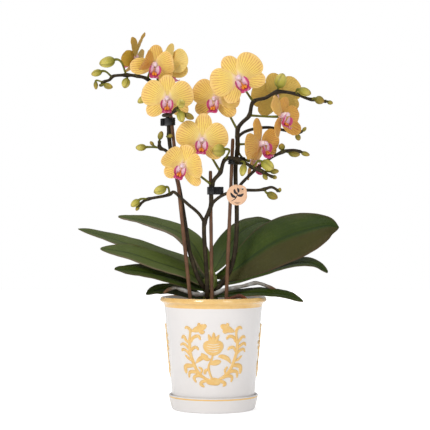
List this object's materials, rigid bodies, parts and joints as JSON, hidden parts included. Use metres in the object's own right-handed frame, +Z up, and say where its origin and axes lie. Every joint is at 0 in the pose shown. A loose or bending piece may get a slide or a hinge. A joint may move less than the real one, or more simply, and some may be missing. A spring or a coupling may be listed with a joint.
{
  "type": "potted orchid",
  "caption": "Staked many-flowered moth orchid in a white glazed pot with a coloured rim and moulded medallions, standing on its saucer.",
  "frame": {"origin": "middle of the saucer's underside, on the surface that the pot stands on", "axes": "+Z up; -Y is the front, where most flowers and one pot medallion look; +X to the viewer's right"},
  "size_m": [0.276, 0.12, 0.3927],
  "materials": {
    "glaze": "gloss",
    "grow_pot_plastic": "satin",
    "bark": "matte",
    "stake": "satin",
    "clip": "satin",
    "card": "matte",
    "leaf": "satin",
    "crown": "satin",
    "root": "matte",
    "spike": "satin",
    "petal": "matte",
    "bud": "satin"
  },
  "bodies": {
    "root": {"bud_centre_1": "bud", "bud_centre_2": "bud", "bud_centre_3": "bud", "bud_centre_4": "bud", "bud_centre_5": "bud", "bud_centre_6": "bud", "bud_left_1": "bud", "bud_left_2": "bud", "bud_left_3": "bud", "bud_left_4": "bud", "bud_left_5": "bud", "bud_left_6": "bud", "bud_left_7": "bud", "bud_left_8": "bud", "bud_left_9": "bud", "bud_right_1": "bud", "bud_right_2": "bud", "bud_right_3": "bud", "bud_right_4": "bud", "bud_right_5": "bud", "clip_centre": "clip", "clip_left": "clip", "clip_right": "clip", "crown": "crown", "flower_centre_1": "petal", "flower_centre_2": "petal", "flower_left_1": "petal", "flower_left_2": "petal", "flower_left_3": "petal", "flower_left_4": "petal", "flower_right_1": "petal", "flower_right_2": "petal", "flower_right_3": "petal", "flower_right_4": "petal", "flower_right_5": "petal", "flower_right_6": "petal", "grow_pot": "grow_pot_plastic", "leaf_left_1": "leaf", "leaf_left_2": "leaf", "leaf_left_3": "leaf", "leaf_left_4": "leaf", "leaf_left_5": "leaf", "leaf_right_1": "leaf", "leaf_right_2": "leaf", "leaf_right_3": "leaf", "leaf_right_4": "leaf", "plant_tag": "card", "pot": "glaze", "potting_bark": "bark", "root_left": "root", "root_low": "root", "root_right": "root", "saucer": "glaze", "spike_centre": "spike", "spike_left": "spike", "spike_right": "spike", "stake_centre": "stake", "stake_left": "stake", "stake_right": "stake"}
  },
  "joints": []
}
